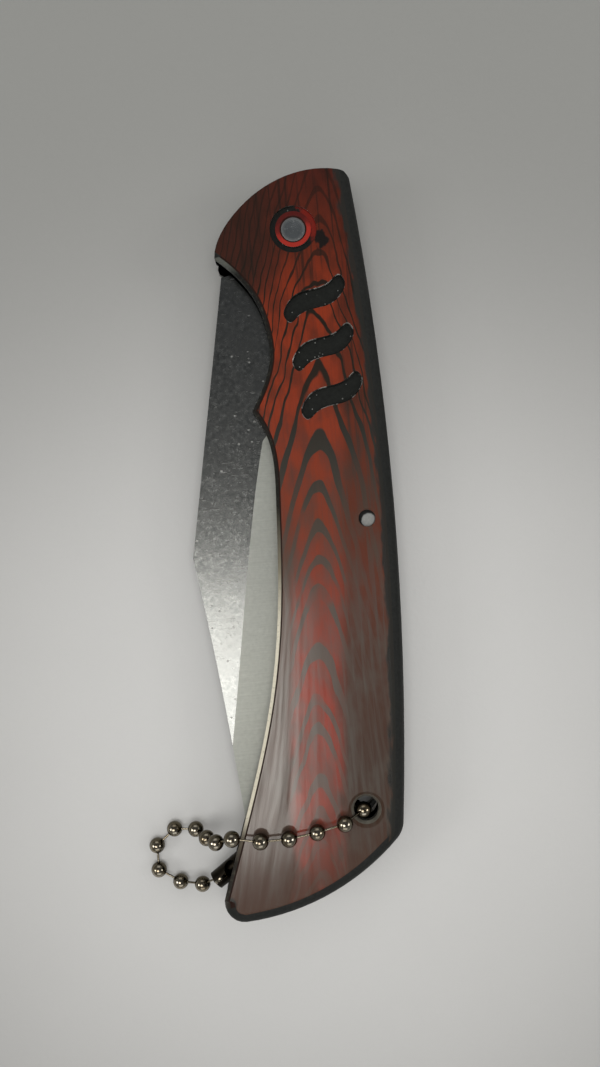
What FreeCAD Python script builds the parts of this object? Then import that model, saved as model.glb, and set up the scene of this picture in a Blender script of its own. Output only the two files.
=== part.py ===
"""Folding pocket knife with a printed two-piece handle and a bead chain, closed, lying on its rear side.

Millimetres. The origin is the foot of the pivot axis on the table: +Z up out of the front face,
+Y towards the pivot end, +X towards the spine. The blade points to -Y and shows on the -X side.
"""
import FreeCAD, Part
import math
import os

import Sketcher
from FreeCAD import Placement, Rotation, Vector

doc = FreeCAD.newDocument("pocket_knife")

# Driving dimensions
SIZES = (
    # handle
    ("handle_length", 108.5),
    ("handle_width", 30.4),
    ("scale_thickness", 4.1),
    ("rim_radius", 1.8),
    ("butt_corner_radius", 4.0),
    ("nose_radius", 2.93),
    ("crown_corner_clip", 0.8),
    ("mouth_chamfer", 0.7),
    ("mouth_land", 1.95),
    ("rim_land", 1.6),
    ("recess_width", 6.2),
    ("recess_depth", 0.8),
    ("recess_edge", 0.2),
    ("recess_step_across", 0.7),
    ("recess_step_along", 7.1),
    # blade and tang
    ("blade_thickness", 2.3),
    ("blade_width", 21.8),
    ("edge_thickness", 0.3),
    ("plunge_length", 14.0),
    ("tang_radius", 6.2),
    ("tang_flat", 5.2),
    # pivot
    ("rivet_radius", 1.5),
    ("rivet_flare", 0.25),
    ("rivet_recess", 0.2),
    ("dimple_depth", 0.15),
    ("collar_radius", 2.6),
    ("groove_width", 0.8),
    ("groove_depth", 0.6),
    ("washer_radius", 4.8),
    ("washer_thickness", 0.2),
    # spring, its pin and its dowel
    ("spring_inset", 0.35),
    ("spring_tail_width", 2.5),
    ("pin_radius", 1.2),
    ("pin_recess", 0.9),
    ("lobe_wall", 1.3),
    ("dowel_radius", 1.2),
    ("dowel_depth", 2.4),
    # chain
    ("chain_play", 0.2),
    ("bead_wall", 0.15),
    ("bead_hole_radius", 0.3),
    ("wire_radius", 0.16),
    ("head_radius", 0.36),
    ("lanyard_play", 0.6),
    ("countersink", 0.85),
    ("clasp_wall", 0.15),
    ("clasp_lip", 0.15),
    ("clasp_slot", 0.5),
    # clearances
    ("running_clearance", 0.05),
    ("pin_clearance", 0.02),
    ("lay_clearance", 0.05),
    ("cut_overrun", 0.5),
)

sheet = doc.addObject("Spreadsheet::Sheet", "sizes")
for row, (alias, value) in enumerate(SIZES, start=1):
    sheet.set(f"A{row}", alias)
    sheet.set(f"B{row}", str(value))
    sheet.setAlias(f"B{row}", alias)
doc.recompute()


def size(expression):
    """The value of a sheet expression such as 'sizes.handle_length'."""
    return float(sheet.evalExpression(expression))


# Worked-out sizes, as expressions on the sheet
SLOT = "(sizes.blade_thickness + 2 * sizes.washer_thickness + 2 * sizes.running_clearance)"
TOTAL = f"(2 * sizes.scale_thickness + {SLOT})"
BEAD_RADIUS = f"({SLOT} / 2 - sizes.chain_play)"
LANYARD_RADIUS = f"({BEAD_RADIUS} + sizes.lanyard_play)"
PIN_BORE = "(sizes.pin_radius + sizes.pin_clearance)"
DOWEL_BORE = "(sizes.dowel_radius + sizes.pin_clearance)"
RIVET_BORE = "(sizes.rivet_radius + sizes.pin_clearance)"

length = size("sizes.handle_length")
width = size("sizes.handle_width")
total = size(TOTAL)
overrun = size("sizes.cut_overrun")
upright = Vector(0, 0, 1)

# Outline of the handle: shares of its width (x) and its length (y), going round from the spine's top
# The mouth starts where the rounded nose ends, and the crown ends at the clipped corner above the spine
spine_shares = ((0.2908, 0.0654), (0.3783, -0.3687), (0.2944, -0.8166))
butt_shares = ((0.2944, -0.8166), (-0.0467, -0.8889), (-0.4901, -0.9221))
mouth_shares = ((-0.4487, -0.7751), (-0.2977, -0.6323), (-0.2178, -0.4968), (-0.1862, -0.3576),
                (-0.2007, -0.2765), (-0.2658, -0.2378))
finger_shares = ((-0.2658, -0.2378), (-0.2039, -0.2065), (-0.1595, -0.1659), (-0.1661, -0.1309),
                 (-0.2072, -0.0903), (-0.2931, -0.0535), (-0.3865, -0.0286))
crown_shares = ((-0.3865, -0.0286), (-0.3684, -0.0111), (-0.2743, 0.0265), (-0.1365, 0.0568),
                (0.1089, 0.0779))
nose_turn_degrees = -102

# Places on the handle, in the same shares
pin_shares = (0.2385, -0.3926)
lanyard_shares = (0.1230, -0.7806)
recess_share = -0.0945


def place(shares):
    """A point of the handle's plan from its shares of width and length."""
    return Vector(shares[0] * width, shares[1] * length, 0)


def places(table):
    return [place(shares) for shares in table]


# Beads of the chain: shares of the handle's width, length and thickness, and 1 for a bead that lies flat
# They run from the clasp through the slot, up the lanyard hole, over the face and round on the table
route_shares = (
    (-0.4836, -0.8447, 0.5, 0), (-0.3553, -0.8512, 0.5, 0), (-0.2336, -0.8456, 0.5, 0),
    (-0.1234, -0.8304, 0.5, 0), (-0.0247, -0.8101, 0.5, 0), (0.0757, -0.7903, 0.5, 0),
    (0.1102, -0.7839, 0.86, 0), (0.0132, -0.7935, 1, 1), (-0.1201, -0.8018, 1, 1),
    (-0.2549, -0.8074, 1, 1), (-0.3908, -0.8078, 1, 1), (-0.5247, -0.8014, 1, 1),
    (-0.6118, -0.8120, 0.864, 0), (-0.6678, -0.8147, 0.545, 0), (-0.7319, -0.8101, 0.245, 0),
    (-0.8454, -0.8111, 0, 1), (-0.9408, -0.8327, 0, 1), (-0.9408, -0.8673, 0, 1),
    (-0.8355, -0.8866, 0, 1), (-0.7171, -0.8862, 0.3, 0), (-0.6168, -0.8714, 0.5, 0))
bead_radius = size(BEAD_RADIUS)
lie = bead_radius + size("sizes.lay_clearance")
beads_at = [place(shares) + Vector(0, 0, shares[2] * total + shares[3] * lie) for shares in route_shares]

# The dowel sits under the chain's run through the slot, with play to the last two beads before the hole
last_in_slot = slice(4, 6)
tail_lobe = size("sizes.dowel_radius + sizes.lobe_wall")


def beside(first, second, reach):
    """Point of the plan at the same reach from two others, on the right of the way from first to second."""
    half_way = (second - first) / 2
    square = Vector(half_way.y, -half_way.x, 0).normalize()
    height = math.sqrt(reach ** 2 - half_way.Length ** 2)
    return Vector(first.x + half_way.x, first.y + half_way.y, 0) + square * height


dowel_at = beside(*beads_at[last_in_slot], bead_radius + tail_lobe + size("sizes.chain_play"))


def arc(points):
    return Part.Arc(*points)


def carry_on(points, end, radius, degrees):
    """Three points of an arc that carries on smoothly from an end of a larger arc and turns by the angle."""
    inward = (arc(points).toShape().Curve.Center - end).normalize()
    centre = end + inward * radius
    turns = (0, degrees / 2, degrees)
    return [centre + Rotation(upright, turn).multVec(end - centre) for turn in turns]


def line(points):
    return Part.LineSegment(*points)


def curve(points, closed=False):
    """A smooth curve through the points."""
    spline = Part.BSplineCurve()
    spline.interpolate(points, closed)
    return spline


def polygon(points):
    """Closed outline of straight edges."""
    return [line((here, there)) for here, there in zip(points, points[1:] + points[:1])]


def new_body(label):
    body = doc.addObject("PartDesign::Body", label)
    body.Label = label
    return body


def sketch_on(body, name, role, offset="0"):
    """Empty sketch on one of the body's own planes, moved along its normal by an expression."""
    sketch = body.newObject("Sketcher::SketchObject", name)
    plane = next(item for item in body.Origin.OriginFeatures if item.Role == role)
    sketch.AttachmentSupport = [(plane, "")]
    sketch.MapMode = "FlatFace"
    sketch.setExpression("AttachmentOffset.Base.z", offset)
    return sketch


def bound_circle(sketch, centre, radius):
    """Circle whose radius follows an expression, about a point of the plan."""
    index = sketch.addGeometry(Part.Circle(centre, upright, size(radius)))
    constraint = sketch.addConstraint(Sketcher.Constraint("Radius", index, size(radius)))
    sketch.setExpression(f"Constraints[{constraint}]", radius)
    if centre.Length == 0:
        sketch.addConstraint(Sketcher.Constraint("Coincident", index, 3, -1, 1))
    else:
        sketch.addConstraint(Sketcher.Constraint("DistanceX", -1, 1, index, 3, centre.x))
        sketch.addConstraint(Sketcher.Constraint("DistanceY", -1, 1, index, 3, centre.y))


def pad(body, sketch, height, symmetric=False):
    feature = body.newObject("PartDesign::Pad", sketch.Name + "_pad")
    feature.Profile = sketch
    feature.setExpression("Length", height)
    if symmetric:
        feature.SideType = "Symmetric"
    doc.recompute()
    return feature


def pocket(body, sketch, depth=None, upwards=False):
    """Cut the sketch into the body: downwards to a depth, or right through."""
    before = body.Shape.Volume
    feature = body.newObject("PartDesign::Pocket", sketch.Name + "_pocket")
    feature.Profile = sketch
    feature.Reversed = upwards
    if depth is None:
        feature.Type = "ThroughAll"
        feature.SideType = "Symmetric"
    else:
        feature.setExpression("Length", depth)
    doc.recompute()
    assert body.Shape.Volume < before, f"{feature.Name} cuts nothing"
    return feature


def edges_near(shape, points, reach):
    """Names of the edges that pass within reach of the points."""
    names = []
    for index, edge in enumerate(shape.Edges, start=1):
        if any(edge.distToShape(Part.Vertex(point))[0] < reach for point in points):
            names.append(f"Edge{index}")
    return names


def dress(body, kind, name, base, edges, prop, expression):
    """Fillet or chamfer on named edges, its size bound to an expression."""
    feature = body.newObject(f"PartDesign::{kind}", name)
    feature.Base = (base, edges)
    feature.setExpression(prop, expression)
    doc.recompute()
    return feature


# Handle scales: an extruded outline with a rounded back rim, a ground mouth edge, recesses and bores
scale = new_body("front_scale")
outline = sketch_on(scale, "scale_outline", "XY_Plane", f"sizes.scale_thickness + {SLOT}")
spine = places(spine_shares)
butt = places(butt_shares)
nose = carry_on(butt, butt[-1], size("sizes.nose_radius"), nose_turn_degrees)
clip = size("sizes.crown_corner_clip")
mouth = [nose[-1]] + places(mouth_shares)
finger = places(finger_shares)
crown = places(crown_shares) + [spine[0] + Vector(-clip, clip, 0)]
outline.addGeometry([arc(points) for points in (spine, butt, nose)])
outline.addGeometry([curve(points) for points in (mouth, finger, crown)])
outline.addGeometry(line((crown[-1], spine[0])))
blank = pad(scale, outline, "sizes.scale_thickness")
front = Vector(0, 0, total)
butt_corner = butt[0] + Vector(0, 0, total - size("sizes.scale_thickness") / 2)
touch = size("sizes.pin_clearance")
rounded = dress(scale, "Fillet", "butt_corner", blank, edges_near(blank.Shape, [butt_corner], touch),
                "Radius", "sizes.butt_corner_radius")
back_points = [points[1] + front for points in (spine, butt, nose)]
rimmed = dress(scale, "Fillet", "rim", rounded, edges_near(rounded.Shape, back_points, touch),
               "Radius", "sizes.rim_radius")
mouth_points = [points[len(points) // 2] + front for points in (mouth, finger)]
dress(scale, "Chamfer", "mouth_edge", rimmed, edges_near(rimmed.Shape, mouth_points, touch),
      "Size", "sizes.mouth_chamfer")

# Curved recesses: an S that is the same when turned half round, in shares of its length and its width
# The row fills the face between the mouth and the rim, less the land it leaves on each side
half_recess_shares = ((-0.50, -0.26), (-0.42, -0.05), (-0.29, 0.11), (-0.11, 0.19), (0.07, 0.23),
                      (0.23, 0.31), (0.33, 0.42), (0.42, 0.50), (0.485, 0.41))
recess_count = 3
recess_step = Vector(size("sizes.recess_step_across"), -size("sizes.recess_step_along"), 0)
row_left = max(point.x for point in finger) + size("sizes.mouth_chamfer + sizes.mouth_land")
row_right = max(point.x for point in spine) - size("sizes.rim_radius + sizes.rim_land")
recess_length = row_right - row_left - (recess_count - 1) * recess_step.x
first_middle = Vector(row_left + recess_length / 2, recess_share * length, 0)
recesses = sketch_on(scale, "recesses", "XY_Plane", TOTAL)
offsets = [Vector(x * recess_length, y * size("sizes.recess_width"), 0) for x, y in half_recess_shares]
recess_points = []
for index in range(recess_count):
    middle = first_middle + recess_step * index
    rounds = [middle + offset * side for side in (1, -1) for offset in offsets]
    recesses.addGeometry(curve(rounds, closed=True))
    recess_points.append(middle - offsets[0] + front)
sunk = pocket(scale, recesses, "sizes.recess_depth")
dress(scale, "Fillet", "recess_edges", sunk, edges_near(sunk.Shape, recess_points, touch),
      "Radius", "sizes.recess_edge")

# Ring groove round the pivot, which leaves a printed collar
pivot = Vector(0, 0, 0)
groove = sketch_on(scale, "pivot_groove", "XY_Plane", TOTAL)
bound_circle(groove, pivot, "sizes.collar_radius")
bound_circle(groove, pivot, "sizes.collar_radius + sizes.groove_width")
pocket(scale, groove, "sizes.groove_depth")

# Bores for the rivet, the spring's pin and the chain
bores = sketch_on(scale, "bores", "XY_Plane", TOTAL)
bound_circle(bores, pivot, RIVET_BORE)
bound_circle(bores, place(pin_shares), PIN_BORE)
bound_circle(bores, place(lanyard_shares), LANYARD_RADIUS)
bored = pocket(scale, bores)


def bore_rim(shape, centre, radius):
    """Name of the edge where a bore opens in the front face."""
    return edges_near(shape, [centre + front + Vector(size(radius), 0, 0)], touch)


flared = dress(scale, "Chamfer", "rivet_seat", bored, bore_rim(bored.Shape, pivot, RIVET_BORE),
               "Size", "sizes.rivet_flare + sizes.rivet_recess")
dress(scale, "Chamfer", "lanyard_mouth", flared,
      bore_rim(flared.Shape, place(lanyard_shares), LANYARD_RADIUS), "Size", "sizes.countersink")

# Blind bore for the dowel, from the inner face
dowel_bore = sketch_on(scale, "dowel_bore", "XY_Plane", f"sizes.scale_thickness + {SLOT}")
bound_circle(dowel_bore, dowel_at, DOWEL_BORE)
pocket(scale, dowel_bore, "sizes.dowel_depth", upwards=True)

# The rear half is the front half mirrored in the middle of the slot
rear = doc.addObject("Part::Mirroring", "rear_scale")
rear.Label = "rear_scale"
rear.Source = scale
rear.Normal = upright
rear.setExpression("Base.z", f"{TOTAL} / 2")

# Blade: tang with two flats, straight back, hollow clip, belly; shares of its width (x) and the handle (y)
blade = new_body("blade")
blade_width = size("sizes.blade_width")
tang = size("sizes.tang_radius")
flat = size("sizes.tang_flat")
flat_top = math.sqrt(tang ** 2 - flat ** 2)
shoulder_shares = (-0.5138, -0.0461)
shoulder_root_share = -0.0359
point_shares = (-0.8624, -0.4286)
clip_shares = (-0.7477, -0.5980)
tip_shares = (-0.6422, -0.8203)
belly_shares = ((-0.5050, -0.7834), (-0.2385, -0.6912), (0.0183, -0.5530), (0.1284, -0.4147),
                (0.1376, -0.2765))
heel_shares = (0.1193, -0.1382)
choil_shares = (0.1193, -0.1106)
kick_share = -0.0700


def on_blade(shares):
    return Vector(shares[0] * blade_width, shares[1] * length, 0)


tang_right = Vector(flat, flat_top, 0)
tang_left = Vector(-flat, flat_top, 0)
shoulder_root = Vector(-flat, shoulder_root_share * length, 0)
kick = Vector(flat, kick_share * length, 0)
tip = on_blade(tip_shares)
profile = sketch_on(blade, "blade_profile", "XY_Plane")
profile.addGeometry(arc((tang_right, Vector(0, tang, 0), tang_left)))
profile.addGeometry(line((tang_left, shoulder_root)))
profile.addGeometry(line((shoulder_root, on_blade(shoulder_shares))))
profile.addGeometry(line((on_blade(shoulder_shares), on_blade(point_shares))))
profile.addGeometry(arc((on_blade(point_shares), on_blade(clip_shares), tip)))
profile.addGeometry(curve([tip] + [on_blade(shares) for shares in belly_shares] + [on_blade(heel_shares)]))
profile.addGeometry(line((on_blade(heel_shares), on_blade(choil_shares))))
profile.addGeometry(line((on_blade(choil_shares), kick)))
profile.addGeometry(line((kick, tang_right)))
pad(blade, profile, "sizes.blade_thickness", symmetric=True)

eye = sketch_on(blade, "pivot_eye", "XY_Plane")
bound_circle(eye, pivot, "sizes.rivet_radius + sizes.running_clearance")
pocket(blade, eye)

# Bevels: a wedge taken off each side between the grind line and the cutting edge
# Stations: share of the handle's length, grind line and cutting edge as shares of the blade's width
bevel_shares = ((-0.2750, -0.322, 0.138), (-0.4470, -0.495, 0.115), (-0.5950, -0.617, -0.050),
                (-0.7100, -0.715, -0.282), (-0.8350, -0.800, -0.690))
half_thickness = size("sizes.blade_thickness") / 2
half_edge = size("sizes.edge_thickness") / 2


def wedge_section(name, along, grind, edge, raised):
    """Right triangle whose long side runs from above the grind line to past the cutting edge."""
    sketch = sketch_on(blade, name, "XZ_Plane", f"{-along}")
    slope = (half_thickness - half_edge) / (edge - grind)
    start = Vector(grind - overrun / slope, half_thickness + overrun + raised, 0)
    end = Vector(edge + overrun, half_edge - overrun * slope + raised, 0)
    sketch.addGeometry(polygon([start, end, Vector(end.x, start.y, 0)]))
    return sketch


def wedge(name, sections):
    """Cut lofted through the sections, on the front side."""
    feature = blade.newObject("PartDesign::SubtractiveLoft", name)
    feature.Profile = sections[0]
    feature.Sections = sections[1:]
    doc.recompute()
    return feature


stations = [(y * length, grind * blade_width, edge * blade_width) for y, grind, edge in bevel_shares]
sections = [wedge_section(f"bevel_{index}", *station, 0) for index, station in enumerate(stations)]
plunge_y = stations[0][0] + size("sizes.plunge_length")
plunge_start = wedge_section("plunge_start", plunge_y, *stations[0][1:], half_thickness)
plunge_end = wedge_section("plunge_end", *stations[0], 0)
cuts = [wedge("plunge", [plunge_start, plunge_end]), wedge("bevel", sections)]
mirrored = blade.newObject("PartDesign::Mirrored", "other_side")
mirrored.Originals = cuts
middle_plane = next(item for item in blade.Origin.OriginFeatures if item.Role == "XY_Plane")
mirrored.MirrorPlane = (middle_plane, [""])
blade.Tip = mirrored
blade.setExpression("Placement.Base.z", f"{TOTAL} / 2")
doc.recompute()


# Back spring: fills the slot along the spine, bears on the tang's flat, holds on a pin and a dowel
spring = new_body("back_spring")
inset = size("sizes.spring_inset")
spine_arc = arc(spine).toShape().Curve
spine_radius = spine_arc.Radius - inset
lobe_wall = size("sizes.lobe_wall")
contact = flat + size("sizes.pin_clearance")
pin_at = place(pin_shares)
tail_width = size("sizes.spring_tail_width")
spring_end_share = 0.0310
contact_end_share = -0.0840
tail_share = -0.7650
neck_share = -0.5800
neck_width_share = 1.5
tail_turn_shares = (0.2450, -0.8230)


def spine_at(y):
    """Point of the spring's outer edge, which runs inside the spine at a steady distance."""
    rise = y - spine_arc.Center.y
    return Vector(spine_arc.Center.x + math.sqrt(spine_radius ** 2 - rise ** 2), y, 0)


def round_dowel(degrees):
    angle = math.radians(degrees)
    return dowel_at + Vector(math.cos(angle), math.sin(angle), 0) * tail_lobe


end_y = spring_end_share * length
tail_y = tail_share * length
neck = spine_at(neck_share * length) - Vector(tail_width * neck_width_share, 0, 0)
tail_inner = spine_at(tail_y) - Vector(tail_width, 0, 0)
pin_inner = pin_at - Vector(size("sizes.pin_radius") + lobe_wall, 0, 0)
contact_top = Vector(contact, end_y, 0)
contact_end = Vector(contact, contact_end_share * length, 0)
lobe_start_degrees, lobe_middle_degrees, lobe_end_degrees = -40, -130, -280
plan = sketch_on(spring, "spring_plan", "XY_Plane")
plan.addGeometry(line((contact_top, spine_at(end_y))))
plan.addGeometry(arc((spine_at(end_y), spine_at(pin_at.y), spine_at(tail_y))))
plan.addGeometry(curve([spine_at(tail_y), place(tail_turn_shares), round_dowel(lobe_start_degrees)]))
plan.addGeometry(arc([round_dowel(d) for d in (lobe_start_degrees, lobe_middle_degrees, lobe_end_degrees)]))
plan.addGeometry(curve([round_dowel(lobe_end_degrees), tail_inner, neck, pin_inner, contact_end]))
plan.addGeometry(line((contact_end, contact_top)))
pad(spring, plan, f"{SLOT} - 2 * sizes.running_clearance", symmetric=True)
spring_bores = sketch_on(spring, "spring_bores", "XY_Plane")
bound_circle(spring_bores, pin_at, PIN_BORE)
bound_circle(spring_bores, dowel_at, DOWEL_BORE)
pocket(spring, spring_bores)
spring.setExpression("Placement.Base.z", f"{TOTAL} / 2")


def primitive(kind, name, at=None, **bound):
    """Part primitive whose sizes are bound to expressions, with an optional place in the plan."""
    solid = doc.addObject(f"Part::{kind}", name)
    for prop, expression in bound.items():
        solid.setExpression(prop.replace("_", "."), expression)
    if at is not None:
        solid.Placement.Base = at
    return solid


def fused(name, *solids):
    whole = doc.addObject("Part::MultiFuse", name)
    whole.Label = name
    whole.Shapes = list(solids)
    return whole


def cut(name, base, tool):
    whole = doc.addObject("Part::Cut", name)
    whole.Label = name
    whole.Base = base
    whole.Tool = tool
    return whole


# Pivot rivet: a shaft with flared ends, dimpled where they were spun over
HEAD = "sizes.rivet_radius + sizes.rivet_flare"
shaft = primitive("Cylinder", "rivet_shaft", Radius="sizes.rivet_radius",
                  Height=f"{TOTAL} - 2 * sizes.rivet_recess", Placement_Base_z="sizes.rivet_recess")
rear_head = primitive("Cone", "rear_head", Radius1=HEAD, Radius2="sizes.rivet_radius",
                      Height="sizes.rivet_flare", Placement_Base_z="sizes.rivet_recess")
front_head = primitive("Cone", "front_head", Radius1="sizes.rivet_radius", Radius2=HEAD,
                       Height="sizes.rivet_flare",
                       Placement_Base_z=f"{TOTAL} - sizes.rivet_recess - sizes.rivet_flare")
rear_dimple = primitive("Cone", "rear_dimple", Radius1="sizes.rivet_radius", Radius2="0",
                        Height="sizes.dimple_depth", Placement_Base_z="sizes.rivet_recess")
front_dimple = primitive("Cone", "front_dimple", Radius1="0", Radius2="sizes.rivet_radius",
                         Height="sizes.dimple_depth",
                         Placement_Base_z=f"{TOTAL} - sizes.rivet_recess - sizes.dimple_depth")
rivet = cut("pivot_rivet", fused("rivet_blank", shaft, rear_head, front_head),
            fused("rivet_dimples", rear_dimple, front_dimple))

# Bearing washers, one against each scale
washers = []
for name, level in (("rear_washer", "sizes.scale_thickness"),
                    ("front_washer", f"{TOTAL} - sizes.scale_thickness - sizes.washer_thickness")):
    disc = primitive("Cylinder", f"{name}_disc", Radius="sizes.washer_radius",
                     Height="sizes.washer_thickness", Placement_Base_z=level)
    hole = primitive("Cylinder", f"{name}_hole", Radius="sizes.rivet_radius + sizes.running_clearance",
                     Height="sizes.washer_thickness", Placement_Base_z=level)
    washers.append(cut(name, disc, hole))

# Spring pin and tail dowel
pin = primitive("Cylinder", "spring_pin", pin_at, Radius="sizes.pin_radius",
                Height=f"{TOTAL} - 2 * sizes.pin_recess", Placement_Base_z="sizes.pin_recess")
dowel = primitive("Cylinder", "tail_dowel", dowel_at, Radius="sizes.dowel_radius",
                  Height=f"{SLOT} + 2 * sizes.dowel_depth - 2 * sizes.running_clearance",
                  Placement_Base_z="sizes.scale_thickness - sizes.dowel_depth + sizes.running_clearance")

# Bead chain: each bead has a hole towards the bead before it and one towards the bead after it
held_bead_count = 13
loop_lean_degrees = -10
runs = [(there - here).normalize() for here, there in zip(beads_at, beads_at[1:])]

# Where the table loop starts, the hole leans so that the loop can be lifted
backward = [-run for run in runs[:1] + runs]
forward = runs + runs[-1:]
loop_axis = beads_at[held_bead_count] - beads_at[-1]
backward[held_bead_count] = Rotation(loop_axis, loop_lean_degrees).multVec(backward[held_bead_count])

# A hole is centred in the bead's wall, and a link reaches from hole to hole and on to the seats of its heads
hole_reach = bead_radius - size("sizes.bead_wall") / 2
entries = [at + axis * hole_reach for at, axis in zip(beads_at, backward)]
exits = [at + axis * hole_reach for at, axis in zip(beads_at, forward)]
spans = [entry - leave for leave, entry in zip(exits, entries[1:])]
head_seat = size("sizes.bead_wall / 2 + sizes.head_radius + sizes.pin_clearance")


def clear_of(holes):
    """Turn of a ball that keeps its poles square to both holes, and its seam on the side away from them."""
    pole = holes[0].cross(holes[1])
    if pole.Length == 0:
        pole = holes[0].cross(upright)
    return Rotation(holes[0].cross(pole), Vector(), pole, "ZXY")


beads = []
links = []
for index, (at, *axes) in enumerate(zip(beads_at, backward, forward), start=1):
    name = f"chain_bead_{index:02d}"
    ball = primitive("Sphere", f"{name}_ball", Radius=BEAD_RADIUS)
    inside = [primitive("Sphere", f"{name}_hollow", Radius=f"{BEAD_RADIUS} - sizes.bead_wall")]
    for sphere in (ball, inside[0]):
        sphere.Placement.Rotation = clear_of(axes)
    for axis in axes:
        hole = primitive("Cylinder", f"{name}_hole", Radius="sizes.bead_hole_radius", Height=BEAD_RADIUS)
        hole.Placement.Rotation = Rotation(upright, axis)
        inside.append(hole)
    bead = cut(name, ball, fused(f"{name}_inside", *inside))
    bead.Placement.Base = at
    beads.append(bead)

for index, (leave, span) in enumerate(zip(exits, spans), start=1):
    name = f"chain_link_{index:02d}"
    link_length = span.Length + 2 * head_seat
    direction = Vector(span).normalize()
    wire = primitive("Cylinder", f"{name}_wire", Radius="sizes.wire_radius")
    wire.Height = link_length
    heads = [primitive("Sphere", f"{name}_head", Vector(0, 0, end * link_length),
                       Radius="sizes.head_radius") for end in (0, 1)]
    link = fused(name, wire, *heads)
    link.Placement = Placement(leave - direction * head_seat, Rotation(upright, direction))
    links.append(link)

# Clasp: a rolled sleeve with turned-in lips, slit along one side, with a keyhole where a bead goes in
clasp = new_body("chain_connector")
clasp_axis = beads_at[0] - beads_at[-1]
clasp_span = clasp_axis.Length
lip_share = 0.5
lip_at = lip_share * bead_radius
lip_radius = math.sqrt(bead_radius ** 2 - lip_at ** 2) + size("sizes.lay_clearance")
sleeve_inner = bead_radius + size("sizes.pin_clearance")
sleeve_outer = sleeve_inner + size("sizes.clasp_wall")
lip_end = lip_at + size("sizes.clasp_lip")
section = sketch_on(clasp, "clasp_section", "XZ_Plane")
section.addGeometry(polygon([
    Vector(lip_radius, -lip_end, 0), Vector(sleeve_outer, -lip_end, 0),
    Vector(sleeve_outer, clasp_span + lip_end, 0), Vector(lip_radius, clasp_span + lip_end, 0),
    Vector(lip_radius, clasp_span + lip_at, 0), Vector(sleeve_inner, clasp_span + lip_at, 0),
    Vector(sleeve_inner, -lip_at, 0), Vector(lip_radius, -lip_at, 0)]))
sleeve = clasp.newObject("PartDesign::Revolution", "sleeve")
sleeve.Profile = section
sleeve.ReferenceAxis = (section, ["V_Axis"])
doc.recompute()
slit = sketch_on(clasp, "slit", "XZ_Plane")
half_slit = size("sizes.clasp_slot") / 2
slit_end = lip_end + overrun
slit.addGeometry(polygon([
    Vector(-half_slit, -slit_end, 0), Vector(half_slit, -slit_end, 0),
    Vector(half_slit, clasp_span + slit_end, 0), Vector(-half_slit, clasp_span + slit_end, 0)]))
pocket(clasp, slit, f"2 * {BEAD_RADIUS}")
keyhole = sketch_on(clasp, "keyhole", "XZ_Plane")
keyhole.addGeometry(Part.Circle(Vector(0, clasp_span / 2, 0), upright, sleeve_inner))
pocket(clasp, keyhole, f"2 * {BEAD_RADIUS}")
clasp.Placement = Placement(beads_at[-1], Rotation(Vector(), upright, clasp_axis, "ZYX"))

# Every sub-part is sound before anything is written
doc.recompute()
parts = [scale, rear, blade, spring, rivet, pin, dowel, clasp] + washers + beads + links
for item in doc.Objects:
    assert not {"Invalid", "Error"} & set(item.State), f"{item.Name} failed: {item.State}"
for item in parts:
    assert not item.Shape.isNull() and item.Shape.isValid(), f"{item.Label} has no sound shape"

os.makedirs("parts", exist_ok=True)
for item in parts:
    item.Shape.exportStep(f"parts/{item.Label}.step")
print(f"{len(parts)} sub-parts, {total:.2f} mm thick")
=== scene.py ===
# %% [markdown]
# # A folding pocket knife, closed, seen from straight above
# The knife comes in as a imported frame: fifty-one solids in metres, with the pivot axis standing on the
# origin, +Y towards the pivot end, +X towards the spine and +Z out of the printed face. Their shapes are
# right, so they stay, and this lesson is mostly about finishes: what each surface of the real knife is made
# of, and how a node tree can find that surface by its place and by the way it faces.

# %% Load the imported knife
import bpy
import numpy as np
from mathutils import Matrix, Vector

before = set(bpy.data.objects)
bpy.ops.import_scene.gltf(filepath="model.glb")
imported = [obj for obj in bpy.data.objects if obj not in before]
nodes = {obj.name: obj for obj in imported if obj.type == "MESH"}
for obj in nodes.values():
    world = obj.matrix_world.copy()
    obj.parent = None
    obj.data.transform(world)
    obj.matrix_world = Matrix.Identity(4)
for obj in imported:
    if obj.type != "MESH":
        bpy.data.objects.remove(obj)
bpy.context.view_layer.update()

# %% [markdown]
# A finish is a material whose colour, metal share, roughness and relief are worked out by nodes. Wiring
# nodes by hand takes many lines, so a small helper adds one node at a time and hands back its output. A
# number goes straight on the socket and an output gets a link, which keeps plain values plain. Places are
# read in millimetres from the object's own coordinates, so a pattern stays on its piece when that moves.

# %% A helper that wires a finish


def paint(red, green, blue):
    """Screen colour, 0 to 255, as the linear colour that a shader wants."""
    share = np.array((red, green, blue)) / 255
    linear = np.where(share <= 0.04045, share / 12.92, ((share + 0.055) / 1.055) ** 2.4)
    return (*linear.tolist(), 1.0)


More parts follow.
